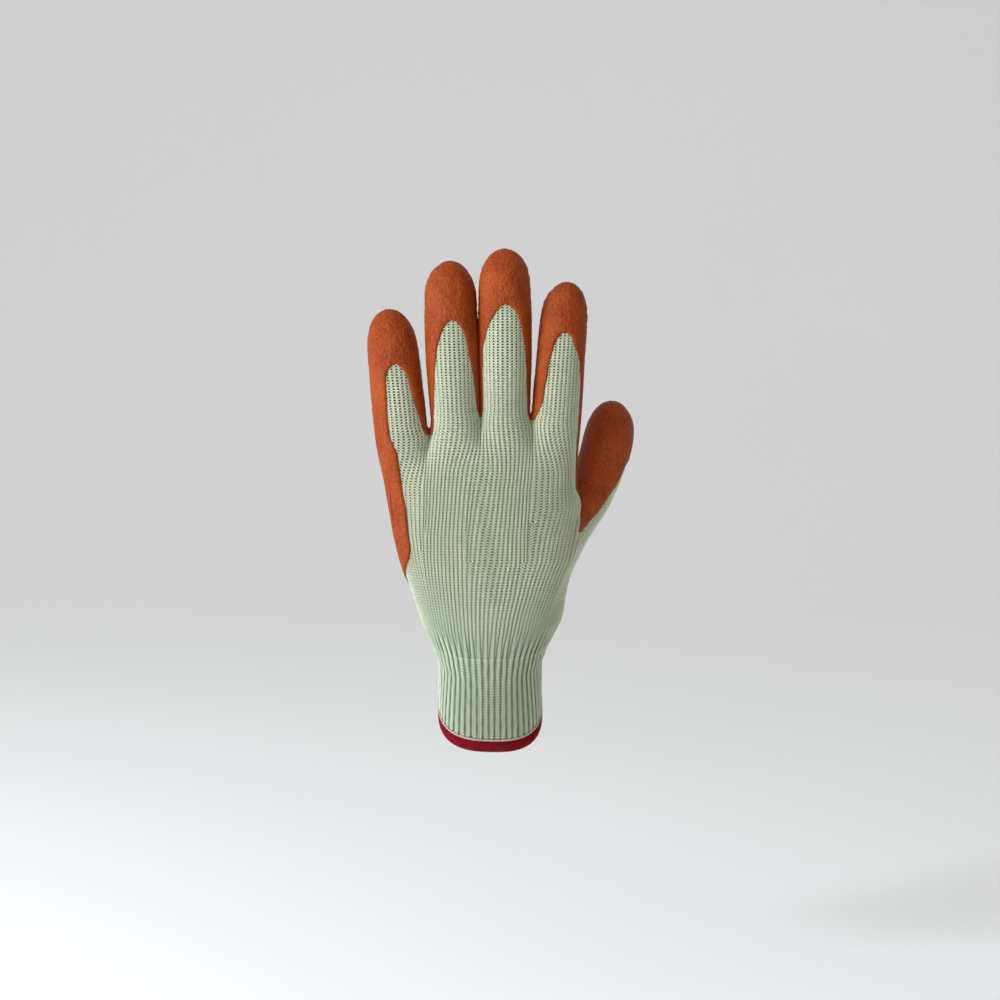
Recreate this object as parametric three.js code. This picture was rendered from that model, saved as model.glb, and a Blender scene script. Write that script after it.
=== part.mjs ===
// Latex coated work glove for the left hand, in millimetres
// Fingers point up (+Z), the back of the hand faces -Y and the thumb is on the +X side
// The origin is the centre of the wrist opening

import * as THREE from 'three';

// Walls and clearances
const liner_wall = 1.4;
const coating_wall = 0.9;
const cuff_wall = 2.0;
const piece_gap = 0.3;
const slot_clearance = 0.6;

// Hand
const palm_length = 111;
const palm_front_depth = 20;
const palm_back_depth = 20;
const palm_roundness = 2.3;
const knuckle_blend = 26;
const little_web_height = 102.5;
const ring_web_height = palm_length;
const middle_web_height = 109.5;
const thumb_web_height = 68;
const thumb_blend = 54;
const thenar_height = 9.5;
const thenar_inset = 12;
const web_lift = 2.6;
const edge_pull = 4;
const web_spread = 2.2;

// Cuff
const cuff_length = 33;
const wrist_width = 49.4;
const wrist_depth = 46;
const cuff_roundness = 2.7;
const rib_pitch = 2.6;
const rib_depth = 0.7;
const cuff_taper = 0.22;
const hem_height = 6.8;
const hem_thickness = 3.4;
const cuff_lean_deg = 30;
const bend_length = 34;
const bend_start = 14;
const rim_tilt_deg = 12;
const rim_side_tilt_deg = 2;

// Fingers and thumb: length is from the root to the tip of the knit
const little_length = 58.5;
const little_width = 22.6;
const little_depth = 20.6;
const ring_length = 73.0;
const ring_width = 22.6;
const ring_depth = 21.2;
const middle_length = 78.8;
const middle_width = 21.2;
const middle_depth = 20.8;
const index_length = 64.5;
const index_width = 19.0;
const index_depth = 18.8;
const thumb_length = 49.2;
const thumb_width = 22.0;
const thumb_depth = 20.6;

// lean and curl are how far a tip lies aside and toward the palm, as shares of the length
// swell is how much wider than its root a finger is from its middle on
const fingers = [
  { name: 'finger_little', length: little_length, width: little_width, depth: little_depth,
    lean: -0.103, curl: 0.222, bow: 1.0, swell: 0 },
  { name: 'finger_ring', length: ring_length, width: ring_width, depth: ring_depth,
    lean: -0.038, curl: 0.164, bow: 1.3, swell: 0.02 },
  { name: 'finger_middle', length: middle_length, width: middle_width, depth: middle_depth,
    lean: -0.002, curl: 0.140, bow: 1.3, swell: 0.07 },
  { name: 'finger_index', length: index_length, width: index_width, depth: index_depth,
    lean: 0.095, curl: 0.155, bow: 0.9, swell: 0.07 },
  { name: 'thumb', length: thumb_length, width: thumb_width, depth: thumb_depth,
    lean: 0.2358, curl: 0.0203, bow: 2.0, swell: 0 },
];
const swell_end = 0.45;
const thumb_turn_deg = 84;
const thumb_offset = 5.6;
const thumb_set_back = 11.8;

// Sections of the hand: up is a share of palm_length, left and right of palm_width,
// front and back of the two palm depths
const palm_sections = [
  { up: 0.00, left: -0.290, right: 0.280, front: 1.00, back: 1.00 },
  { up: 0.11, left: -0.350, right: 0.348, front: 0.96, back: 0.98 },
  { up: 0.25, left: -0.404, right: 0.390, front: 0.86, back: 0.97 },
  { up: 0.39, left: -0.455, right: 0.430, front: 0.78, back: 0.95 },
  { up: 0.50, left: -0.485, right: 0.430, front: 0.74, back: 0.90 },
  { up: 0.70, left: -0.526, right: 0.424, front: 0.70, back: 0.78 },
  { up: 0.88, left: -0.560, right: 0.416, front: 0.65, back: 0.68 },
  { up: 1.00, left: -0.580, right: 0.420, front: 0.56, back: 0.60 },
];

// Where the five knitted strips meet at the wrist, as shares of its width
const strip_edges_wrist = [0, 0.200, 0.400, 0.600, 0.800];

// Width and depth of a finger along its length, as shares of its full size
const finger_profile = [
  { up: 0.00, width: 1.00, depth: 1.00 },
  { up: 0.30, width: 1.02, depth: 1.00 },
  { up: 0.60, width: 1.00, depth: 0.97 },
  { up: 0.80, width: 0.96, depth: 0.92 },
  { up: 1.00, width: 0.92, depth: 0.86 },
];
const tip_cap = 0.78;
const tip_bluntness = 2.3;

// Open windows of the latex on the back of each finger
// up is a share of the finger's length, left and right are shares of its front half
const windows = {
  finger_little: [
    { up: 0.03, left: 0.35, right: 0.85 },
    { up: 0.23, left: 0.36, right: 0.75 },
    { up: 0.43, left: 0.38, right: 0.67 },
    { up: 0.54, left: 0.41, right: 0.65 },
    { up: 0.60, left: 0.46, right: 0.61 },
  ],
  finger_ring: [
    { up: 0.00, left: 0.12, right: 0.92 },
    { up: 0.12, left: 0.18, right: 0.86 },
    { up: 0.27, left: 0.23, right: 0.80 },
    { up: 0.43, left: 0.29, right: 0.72 },
    { up: 0.56, left: 0.37, right: 0.67 },
    { up: 0.63, left: 0.46, right: 0.60 },
  ],
  finger_middle: [
    { up: 0.00, left: 0.10, right: 0.93 },
    { up: 0.12, left: 0.12, right: 0.88 },
    { up: 0.26, left: 0.14, right: 0.84 },
    { up: 0.42, left: 0.17, right: 0.79 },
    { up: 0.54, left: 0.25, right: 0.73 },
    { up: 0.63, left: 0.38, right: 0.66 },
    { up: 0.69, left: 0.46, right: 0.60 },
  ],
  finger_index: [
    { up: 0.00, left: 0.16, right: 0.92 },
    { up: 0.14, left: 0.28, right: 0.91 },
    { up: 0.30, left: 0.31, right: 0.88 },
    { up: 0.46, left: 0.34, right: 0.80 },
    { up: 0.60, left: 0.39, right: 0.67 },
    { up: 0.66, left: 0.46, right: 0.61 },
  ],
  thumb: [
    { up: -0.25, left: 0.08, right: 0.90 },
    { up: -0.12, left: 0.20, right: 0.90 },
    { up: 0.02, left: 0.29, right: 0.90 },
    { up: 0.16, left: 0.34, right: 0.85 },
    { up: 0.30, left: 0.39, right: 0.75 },
    { up: 0.41, left: 0.50, right: 0.63 },
  ],
};

// Edge of the latex along the little finger's side of the hand, up as a share of palm_length
const side_strip = [
  { up: 0.30, edge: 0.10 },
  { up: 0.34, edge: 0.26 },
  { up: 0.40, edge: 0.44 },
  { up: 0.48, edge: 0.53 },
  { up: 0.62, edge: 0.56 },
  { up: 0.80, edge: 0.52 },
  { up: 0.92, edge: 0.42 },
];
// Lower edge of the latex: its height at the sides and in the middle of the palm
const coating_side_height = 35;
const coating_palm_height = 16;
const coating_thumb_height = 55.5;
const coating_dip_power = 0.7;

// Divisions of the mesh
const flap_cells = 2;
const window_cells = 3;
const back_cells = 5;
const palm_row_step = 10;
const cap_rows = [0.30, 0.58, 0.80, 0.93];
const row_slack = 0.2;
const least_row = 0.05;
const same_height = 1e-6;
const fine_turns = 720;
const cuff_rows = [0, 0.28, 0.56, 1];
const hem_sides = 6;

// Colours
const knit_colour = 0xb4bd98;
const latex_colour = 0xa9531d;
const hem_colour = 0x8f1528;

const front_cells = 2 * flap_cells + window_cells;
const cuff_lean = THREE.MathUtils.degToRad(cuff_lean_deg);
const rim_slope = Math.tan(THREE.MathUtils.degToRad(rim_tilt_deg));
const rim_side_slope = Math.tan(THREE.MathUtils.degToRad(rim_side_tilt_deg));
const web_heights = [little_web_height, ring_web_height, middle_web_height, thumb_web_height];
const strip_count = fingers.length;
const thumb_index = strip_count - 1;
const finger_slot = 2 * (piece_gap + coating_wall) + slot_clearance;

// The four fingers stand side by side on the hand, a slot apart
const hand_fingers = fingers.slice(0, thumb_index);
const palm_width = hand_fingers.reduce((sum, finger) => sum + finger.width, 0)
  + (hand_fingers.length - 1) * finger_slot;
const strip_edges_top = [0];
let filled = 0;
for (const finger of hand_fingers) {
  finger.x = palm_width * palm_sections.at(-1).left + filled + finger.width / 2;
  finger.set_back = 0;
  finger.turn = 0;
  filled += finger.width + finger_slot;
  strip_edges_top.push(Math.min(1, (filled - finger_slot / 2) / palm_width));
}

function mix(a, b, share) {
  return a + (b - a) * share;
}

function clamp01(value) {
  return Math.min(1, Math.max(0, value));
}

function smooth(value) {
  const share = clamp01(value);
  return share * share * (3 - 2 * share);
}

// Value of one column of a table at a height, on straight lines between its rows
function lookup(table, up, column) {
  const last = table.length - 1;
  if (up <= table[0].up) {
    return table[0][column];
  }
  for (let i = 0; i < last; i += 1) {
    if (up <= table[i + 1].up) {
      const share = (up - table[i].up) / (table[i + 1].up - table[i].up);
      return mix(table[i][column], table[i + 1][column], share);
    }
  }
  return table[last][column];
}

// The thumb stands beside the hand, toward the palm side
const thumb = fingers[thumb_index];
thumb.x = palm_width * lookup(palm_sections, thumb_web_height / palm_length, 'right') + thumb_offset;
thumb.set_back = thumb_set_back + thumb.width / 2;
thumb.turn = THREE.MathUtils.degToRad(thumb_turn_deg);

// Root height of each finger: the higher of the webs beside it
function rootHeight(index) {
  if (index === thumb_index) {
    return thumb_web_height;
  }
  if (index === 0) {
    return little_web_height;
  }
  if (index === thumb_index - 1) {
    return middle_web_height;
  }
  return Math.max(web_heights[index - 1], web_heights[index]);
}

// Centre and half sizes of a finger's section at a height
function fingerSection(index, z) {
  const finger = fingers[index];
  const along = (z - rootHeight(index)) / finger.length;
  const t = Math.min(1, along);
  const cap = tip_cap * finger.width / finger.length;
  const into_cap = clamp01((t - (1 - cap)) / cap);
  const round = Math.pow(Math.max(0, 1 - Math.pow(into_cap, tip_bluntness)), 1 / 2);
  const lean_share = 1 - Math.sign(1 - t) * Math.pow(Math.abs(1 - t), finger.bow);
  const curl_share = t > 0 ? t * t : 0;
  const width = finger.width * (1 + finger.swell * smooth(t / swell_end));
  return {
    x: finger.x + finger.length * finger.lean * lean_share,
    y: finger.set_back + finger.length * finger.curl * curl_share,
    a: width / 2 * lookup(finger_profile, t, 'width') * round,
    b: finger.depth / 2 * lookup(finger_profile, t, 'depth') * round,
  };
}

// Point of a finger's section: side is -1 on the back of the hand and 1 on the palm side
function fingerPoint(index, side, s, z) {
  const section = fingerSection(index, z);
  const turn = fingers[index].turn;
  const across = -section.a * Math.cos(Math.PI * s);
  const out = side * section.b * Math.sin(Math.PI * s);
  const x = section.x + across * Math.cos(turn) - out * Math.sin(turn);
  const y = section.y + across * Math.sin(turn) + out * Math.cos(turn);
  return new THREE.Vector3(x, y, z);
}

// Section of the hand and the cuff at a height below the fingers
function palmSection(z) {
  const up = z / palm_length;
  let left = palm_width * lookup(palm_sections, up, 'left');
  let right = palm_width * lookup(palm_sections, up, 'right');
  let front = palm_front_depth * lookup(palm_sections, up, 'front');
  let back = palm_back_depth * lookup(palm_sections, up, 'back');
  const into_cuff = smooth(-z / (cuff_length * cuff_taper));
  const middle = (left + right) / 2;
  left = mix(left, middle - wrist_width / 2, into_cuff);
  right = mix(right, middle + wrist_width / 2, into_cuff);
  front = mix(front, wrist_depth / 2, into_cuff);
  back = mix(back, wrist_depth / 2, into_cuff);
  return { left, right, front, back };
}

// Point of the hand's section at an angle from the little finger's side
function palmPoint(side, angle, z) {
  const section = palmSection(z);
  const middle = (section.left + section.right) / 2;
  const half = (section.right - section.left) / 2;
  const on_palm = smooth(z / palm_length * 2);
  const on_cuff = smooth(-z / cuff_length);
  const roundness = 2 + (palm_roundness - 2) * on_palm + (cuff_roundness - 2) * on_cuff;
  const c = -Math.cos(angle);
  const s = Math.max(0, Math.sin(angle));
  const depth = side < 0 ? section.front : section.back;
  // On the cuff the ribs stand at even angles round the section
  if (z < 0) {
    const reach = Math.pow(Math.pow(Math.abs(c), roundness) + Math.pow(s, roundness), -1 / roundness);
    return new THREE.Vector3(middle + half * c * reach, side * depth * s * reach, z);
  }
  const x = middle + half * Math.sign(c) * Math.pow(Math.abs(c), 2 / roundness);
  const y = side * depth * Math.pow(s, 2 / roundness);
  return new THREE.Vector3(x, y, z);
}

// How far a web has opened into the hand below it, from 0 at the web to 1
function webShare(edge, z) {
  const reach = edge === thumb_index - 1 ? thumb_blend : knuckle_blend;
  const below = clamp01((web_heights[edge] - z) / reach);
  return 1 - Math.pow(1 - below, web_spread);
}

// Angle at which strip number edge ends on the hand's section
function edgeAngle(edge, z) {
  if (edge < 0) {
    return 0;
  }
  if (edge >= thumb_index) {
    return Math.PI;
  }
  const up = smooth(z / palm_length);
  const top = strip_edges_top[edge + 1];
  const wrist = strip_edges_wrist[edge + 1];
  if (edge === thumb_index - 1) {
    const wrist_angle = Math.acos(1 - 2 * wrist);
    return mix(Math.PI, wrist_angle, webShare(edge, z));
  }
  return Math.acos(1 - 2 * mix(wrist, top, up));
}

// Web point between strip number edge and the next one
function webPoint(edge) {
  const z = web_heights[edge];
  const beside = edge === thumb_index - 1;
  const a = beside ? palmPoint(-1, Math.PI, z) : fingerPoint(edge, -1, 1, z);
  const b = fingerPoint(edge + 1, -1, 0, z);
  return a.lerp(b, 0.5).setZ(z);
}

// Share of a strip's section that already follows its finger
function fingerShare(index, z) {
  const reach = index === thumb_index ? thumb_blend : knuckle_blend;
  return smooth(1 - (rootHeight(index) - z) / reach);
}

// Edge point of a strip below its web, on one side of the hand
function edgePoint(edge, side, z) {
  const on_palm = palmPoint(side, edgeAngle(edge, z), z);
  const share = webShare(edge, z);
  const point = webPoint(edge).setZ(z).lerp(on_palm, share);
  if (edge === thumb_index - 1 && side > 0) {
    point.y += thenar_height * Math.sin(Math.PI * share);
    point.x -= thenar_inset * Math.sin(Math.PI * share);
  }
  return point;
}

// Point of the raw strip before its edges are joined to their neighbours
function rawPoint(index, side, s, z) {
  const from = edgeAngle(index - 1, z);
  const to = edgeAngle(index, z);
  const on_palm = palmPoint(side, mix(from, to, s), z);
  return on_palm.lerp(fingerPoint(index, side, s, z), fingerShare(index, z));
}

// Edge point of a strip: shared below its web, free above it
function joinedEdge(index, edge, side, s, z) {
  if (edge < 0 || edge >= thumb_index || z > web_heights[edge] + same_height) {
    return rawPoint(index, side, s, z);
  }
  return edgePoint(edge, side, z);
}

// Point of the glove's outer knit surface
function stripPoint(index, side, s, z) {
  const point = rawPoint(index, side, s, z);
  const left_shift = joinedEdge(index, index - 1, side, 0, z).sub(rawPoint(index, side, 0, z));
  const right_shift = joinedEdge(index, index, side, 1, z).sub(rawPoint(index, side, 1, z));
  point.addScaledVector(left_shift, Math.pow(1 - s, edge_pull));
  point.addScaledVector(right_shift, Math.pow(s, edge_pull));
  return point;
}

// The cuff bends toward the palm side below the hand, round the X axis
const bend_radius = bend_length / cuff_lean;

function bendPoint(point) {
  const down = bend_start - point.z;
  if (down <= 0) {
    return point.clone();
  }
  const angle = Math.min(down, bend_length) / bend_radius;
  const rest = Math.max(0, down - bend_length);
  const y = bend_radius * (1 - Math.cos(angle)) + rest * Math.sin(angle);
  const z = bend_start - bend_radius * Math.sin(angle) - rest * Math.cos(angle);
  return new THREE.Vector3(
    point.x,
    y + point.y * Math.cos(angle),
    z + point.y * Math.sin(angle),
  );
}

const cuff_centre = palmSection(-cuff_length);
const rim_centre = bendPoint(new THREE.Vector3(
  (cuff_centre.left + cuff_centre.right) / 2, 0, -cuff_length));

function placePoint(point) {
  return bendPoint(point).sub(rim_centre);
}

// Heights of the rows that all strips share, with one at each web
function sharedRows() {
  const keys = [0, coating_side_height, coating_thumb_height, ...web_heights];
  keys.sort((a, b) => a - b);
  const rows = [keys[0]];
  for (let i = 1; i < keys.length; i += 1) {
    const span = keys[i] - keys[i - 1];
    if (span < least_row) {
      continue;
    }
    const count = Math.max(1, Math.ceil(span / palm_row_step - row_slack));
    for (let k = 1; k <= count; k += 1) {
      rows.push(keys[i - 1] + span * k / count);
    }
  }
  return rows;
}

// Heights of a finger's own rows above its webs, up to the last ring below the tip
function fingerRows(index) {
  const finger = fingers[index];
  const root = rootHeight(index);
  const cap_start = 1 - tip_cap * finger.width / finger.length;
  const rows = [root + web_lift, root + web_lift + piece_gap];
  const first = (web_lift + piece_gap) / finger.length + least_row;
  const table = windows[finger.name];
  for (const row of table) {
    if (row.up > first) {
      rows.push(root + finger.length * row.up);
    }
  }
  const apex = table[table.length - 1].up;
  const low = Math.max(cap_start, apex);
  if (cap_start > apex + least_row) {
    rows.push(root + finger.length * cap_start);
  }
  for (const share of cap_rows) {
    rows.push(root + finger.length * mix(low, 1, share));
  }
  return rows;
}

// Widths of the front columns of a strip at a height
function frontLevels(index, z) {
  const finger = fingers[index];
  const table = windows[finger.name];
  const up = (z - rootHeight(index)) / finger.length;
  let left = lookup(table, up, 'left');
  let right = lookup(table, up, 'right');
  const apex = table[table.length - 1].up;
  const even_left = flap_cells / front_cells;
  const even_right = (flap_cells + window_cells) / front_cells;
  const above = smooth((up - apex) / (1 - apex));
  const below = smooth(-up * finger.length / knuckle_blend);
  const left_stays = index === 0 || index === thumb_index;
  const right_stays = index >= thumb_index - 1;
  left = mix(left, even_left, Math.max(above, left_stays ? 0 : below));
  right = mix(right, even_right, Math.max(above, right_stays ? 0 : below));
  if (index === 0 && z < little_web_height) {
    left = lookup(side_strip, z / palm_length, 'edge');
  }
  const levels = [];
  for (let i = 0; i <= flap_cells; i += 1) {
    levels.push(left * i / flap_cells);
  }
  for (let i = 1; i <= window_cells; i += 1) {
    levels.push(mix(left, right, i / window_cells));
  }
  for (let i = 1; i <= flap_cells; i += 1) {
    levels.push(mix(right, 1, i / flap_cells));
  }
  return levels;
}

function backLevels() {
  const levels = [];
  for (let i = 0; i <= back_cells; i += 1) {
    levels.push(i / back_cells);
  }
  return levels;
}

// The rows dip across the palm side, so that one of them is the latex's lower edge
function rowHeight(index, side, s, z) {
  if (side < 0 || z >= thumb_web_height) {
    return z;
  }
  const dip = Math.pow(Math.sin(Math.PI * clamp01((index + s) / strip_count)), coating_dip_power);
  const drop = (coating_side_height - coating_palm_height) * dip;
  if (z < coating_side_height) {
    return z - drop * z / coating_side_height;
  }
  return z - drop * (thumb_web_height - z) / (thumb_web_height - coating_side_height);
}

// Vertices and cells of the whole knit surface
const vertices = [];
const vertex_of = new Map();
const cells = [];

function vertexAt(key, index, side, s, z) {
  if (!vertex_of.has(key)) {
    vertex_of.set(key, vertices.length);
    vertices.push(placePoint(stripPoint(index, side, s, rowHeight(index, side, s, z))));
  }
  return vertex_of.get(key);
}

// A vertex on the edge of a strip is shared with its neighbour, its other side or both
function edgeKey(index, edge, side, z) {
  const mark = z.toFixed(4);
  if (edge < 0 || edge >= thumb_index || z > web_heights[edge] + same_height) {
    return `side ${index} ${edge} ${mark}`;
  }
  if (Math.abs(z - web_heights[edge]) < same_height) {
    return `web ${edge}`;
  }
  return `edge ${edge} ${side} ${mark}`;
}

function rowVertices(index, side, z) {
  const levels = side < 0 ? frontLevels(index, z) : backLevels();
  const last = levels.length - 1;
  return levels.map((s, i) => {
    if (i === 0) {
      return vertexAt(edgeKey(index, index - 1, side, z), index, side, 0, z);
    }
    if (i === last) {
      return vertexAt(edgeKey(index, index, side, z), index, side, 1, z);
    }
    return vertexAt(`in ${index} ${side} ${i} ${z.toFixed(4)}`, index, side, s, z);
  });
}

function addCell(info, corners) {
  const distinct = corners.filter((v, i) => corners.indexOf(v) === i);
  if (distinct.length > 2) {
    const turned = info.side < 0 ? distinct : distinct.reverse();
    cells.push({ ...info, corners: turned });
  }
}

function addStrip(index, shared) {
  const finger = fingers[index];
  const root = rootHeight(index);
  const rows = shared.filter((z) => z <= root + same_height).concat(fingerRows(index));
  const split = root + web_lift;
  const apex_height = root + finger.length * windows[finger.name].at(-1).up;
  for (const side of [-1, 1]) {
    for (let r = 0; r < rows.length - 1; r += 1) {
      const low = rowVertices(index, side, rows[r]);
      const high = rowVertices(index, side, rows[r + 1]);
      const middle = (rows[r] + rows[r + 1]) / 2;
      let node = 'hand';
      if (middle > split) {
        node = middle < split + piece_gap ? 'seam' : finger.name;
      }
      for (let c = 0; c < low.length - 1; c += 1) {
        const info = { index, side, column: c, low: rows[r], high: rows[r + 1], node };
        info.coated = isCoated(info, apex_height);
        addCell(info, [low[c], low[c + 1], high[c + 1], high[c]]);
      }
    }
    const top = rowVertices(index, side, rows[rows.length - 1]);
    const tip = vertexAt(`tip ${index}`, index, -1, 0.5, root + finger.length);
    for (let c = 0; c < top.length - 1; c += 1) {
      const info = { index, side, column: c, node: finger.name, coated: true };
      addCell(info, [top[c], top[c + 1], tip]);
    }
  }
}

// The latex covers the palm side above its lower edge, and the front outside the windows
function isCoated(info, apex_height) {
  const { index, side, column, low, high } = info;
  if (side > 0) {
    return low >= coating_side_height - same_height;
  }
  if (high > apex_height + same_height) {
    return true;
  }
  const in_window = column >= flap_cells && column < flap_cells + window_cells;
  if (in_window) {
    return false;
  }
  if (index === 0 && column < flap_cells) {
    return low >= coating_side_height - same_height;
  }
  const edge = column < flap_cells ? index - 1 : index;
  const beside_thumb = index === thumb_index || edge === thumb_index - 1;
  return low >= (beside_thumb ? coating_thumb_height : web_heights[edge]) - same_height;
}

const shared_rows = sharedRows();
for (let index = 0; index < strip_count; index += 1) {
  addStrip(index, shared_rows);
}

// Unit normals of the knit surface at its vertices
function surfaceNormals() {
  const normals = vertices.map(() => new THREE.Vector3());
  for (const cell of cells) {
    const p = cell.corners.map((v) => vertices[v]);
    const normal = new THREE.Vector3();
    for (let i = 1; i < p.length - 1; i += 1) {
      const u = p[i].clone().sub(p[0]);
      const v = p[i + 1].clone().sub(p[0]);
      normal.add(u.cross(v));
    }
    normal.normalize();
    for (const v of cell.corners) {
      normals[v].add(normal);
    }
  }
  return normals.map((normal) => normal.normalize());
}

const normals = surfaceNormals();

// A closed wall over a patch of cells, from one offset of the knit surface to another
function wallOverCells(patch, inner, outer) {
  const positions = [];
  const index_of = new Map();
  const faces = [];
  const edges = new Map();
  function offsetVertex(v, high) {
    const key = `${v} ${high}`;
    if (!index_of.has(key)) {
      const point = vertices[v].clone().addScaledVector(normals[v], high ? outer : inner);
      index_of.set(key, positions.length / 3);
      positions.push(point.x, point.y, point.z);
    }
    return index_of.get(key);
  }
  for (const cell of patch) {
    const c = cell.corners;
    for (let i = 1; i < c.length - 1; i += 1) {
      faces.push(offsetVertex(c[0], true), offsetVertex(c[i], true), offsetVertex(c[i + 1], true));
      faces.push(offsetVertex(c[0], false), offsetVertex(c[i + 1], false), offsetVertex(c[i], false));
    }
    for (let i = 0; i < c.length; i += 1) {
      edges.set(`${c[i]} ${c[(i + 1) % c.length]}`, [c[i], c[(i + 1) % c.length]]);
    }
  }
  for (const [from, to] of edges.values()) {
    if (!edges.has(`${to} ${from}`)) {
      faces.push(offsetVertex(from, true), offsetVertex(from, false), offsetVertex(to, false));
      faces.push(offsetVertex(from, true), offsetVertex(to, false), offsetVertex(to, true));
    }
  }
  return closedGeometry(positions, faces);
}

function closedGeometry(positions, faces) {
  const geometry = new THREE.BufferGeometry();
  geometry.setAttribute('position', new THREE.Float32BufferAttribute(positions, 3));
  geometry.setIndex(faces);
  geometry.computeVertexNormals();
  return geometry;
}

// Point of the cuff's wall: turn runs once round from the little finger's side over the front
function cuffPoint(turn, down, offset) {
  const side = turn < 0.5 ? -1 : 1;
  const angle = Math.PI * (turn < 0.5 ? 2 * turn : 2 - 2 * turn);
  const step = 0.001;
  const point = palmPoint(side, angle, -down);
  const ahead = palmPoint(side, angle + step, -down).sub(palmPoint(side, angle - step, -down));
  const outward = new THREE.Vector3(ahead.y, -ahead.x, 0).normalize().multiplyScalar(-side);
  point.addScaledVector(outward, offset);
  point.z += (rim_slope * point.y - rim_side_slope * point.x) * smooth(down / cuff_length);
  return placePoint(point);
}

// Shares of the way round at which the ribs stand, evenly along the wrist
function evenTurns(count, down) {
  const lengths = [0];
  let last = cuffPoint(0, down, 0);
  for (let i = 1; i <= fine_turns; i += 1) {
    const next = cuffPoint((i % fine_turns) / fine_turns, down, 0);
    lengths.push(lengths[i - 1] + next.distanceTo(last));
    last = next;
  }
  const turns = [];
  let k = 0;
  for (let i = 0; i < count; i += 1) {
    const wanted = lengths[fine_turns] * i / count;
    while (lengths[k + 1] < wanted) {
      k += 1;
    }
    turns.push((k + (wanted - lengths[k]) / (lengths[k + 1] - lengths[k])) / fine_turns);
  }
  return turns;
}

function perimeter(down) {
  let total = 0;
  for (let i = 0; i < fine_turns; i += 1) {
    const next = (i + 1) % fine_turns;
    total += cuffPoint(i / fine_turns, down, 0).distanceTo(cuffPoint(next / fine_turns, down, 0));
  }
  return total;
}

// A closed ring from a loop of section points at each turn
function ringGeometry(turns, sectionAt) {
  const positions = [];
  const faces = [];
  const sides = sectionAt(turns[0], 0).length;
  turns.forEach((turn, i) => {
    for (const point of sectionAt(turn, i)) {
      positions.push(point.x, point.y, point.z);
    }
  });
  for (let i = 0; i < turns.length; i += 1) {
    const next = (i + 1) % turns.length;
    for (let j = 0; j < sides; j += 1) {
      const up = (j + 1) % sides;
      const a = i * sides + j;
      const b = next * sides + j;
      const c = next * sides + up;
      const d = i * sides + up;
      faces.push(a, b, c, a, c, d);
    }
  }
  return closedGeometry(positions, faces);
}

// Ribbed cuff: ridges and grooves in turn on the outside, a plain inside
function cuffGeometry() {
  const ribs = Math.round(perimeter(cuff_length / 2) / rib_pitch);
  const turns = evenTurns(2 * ribs, cuff_length / 2);
  return ringGeometry(turns, (turn, i) => {
    const groove = i % 2 === 0 ? 0 : -rib_depth;
    const section = [];
    for (const share of cuff_rows) {
      const down = mix(piece_gap, cuff_length, share);
      section.unshift(cuffPoint(turn, down, groove));
      section.push(cuffPoint(turn, down, -cuff_wall));
    }
    return section;
  });
}

// Overlocked hem: a rounded band under the end of the cuff
function hemGeometry() {
  const count = Math.round(perimeter(cuff_length) / rib_pitch);
  const turns = evenTurns(count, cuff_length);
  const middle = cuff_length + piece_gap + hem_height / 2;
  return ringGeometry(turns, (turn) => {
    const section = [];
    for (let j = 0; j < hem_sides; j += 1) {
      const angle = 2 * Math.PI * (j + 0.5) / hem_sides;
      const out = hem_thickness / 2 * Math.cos(angle);
      const along = hem_height / 2 * Math.sin(angle);
      section.push(cuffPoint(turn, middle - along, out - cuff_wall / 2));
    }
    return section;
  });
}

function addPiece(group, name, geometry, colour, roughness) {
  const material = new THREE.MeshStandardMaterial({ color: colour, roughness, metalness: 0 });
  const mesh = new THREE.Mesh(geometry, material);
  mesh.name = name;
  group.add(mesh);
}

const group = new THREE.Group();
for (const finger of fingers) {
  const patch = cells.filter((cell) => cell.node === finger.name);
  addPiece(group, finger.name, wallOverCells(patch, -liner_wall, 0), knit_colour, 0.9);
}
const hand_cells = cells.filter((cell) => cell.node === 'hand');
addPiece(group, 'hand', wallOverCells(hand_cells, -liner_wall, 0), knit_colour, 0.9);
addPiece(group, 'cuff_rib', cuffGeometry(), knit_colour, 0.9);
addPiece(group, 'cuff_hem', hemGeometry(), hem_colour, 0.8);
const coated_cells = cells.filter((cell) => cell.coated);
addPiece(group, 'latex_coating',
  wallOverCells(coated_cells, piece_gap, piece_gap + coating_wall), latex_colour, 0.55);

export default group;
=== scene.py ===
import math

import bmesh
import bpy
import numpy as np
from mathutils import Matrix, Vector, noise


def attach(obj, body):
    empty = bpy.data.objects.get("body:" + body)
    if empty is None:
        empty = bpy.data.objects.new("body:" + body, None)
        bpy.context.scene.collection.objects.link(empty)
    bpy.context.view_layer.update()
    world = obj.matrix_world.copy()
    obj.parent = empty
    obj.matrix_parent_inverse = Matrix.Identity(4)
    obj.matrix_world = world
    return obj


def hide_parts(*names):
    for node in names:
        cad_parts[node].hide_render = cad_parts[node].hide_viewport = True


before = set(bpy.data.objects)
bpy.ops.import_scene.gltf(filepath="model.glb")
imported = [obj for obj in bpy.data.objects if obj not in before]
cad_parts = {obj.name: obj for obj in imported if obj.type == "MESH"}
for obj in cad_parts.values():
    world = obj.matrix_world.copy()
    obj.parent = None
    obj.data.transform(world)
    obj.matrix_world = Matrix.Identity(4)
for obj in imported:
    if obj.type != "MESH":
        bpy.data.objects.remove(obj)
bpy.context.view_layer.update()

MM = 0.001
TINY = 1e-6

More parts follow.
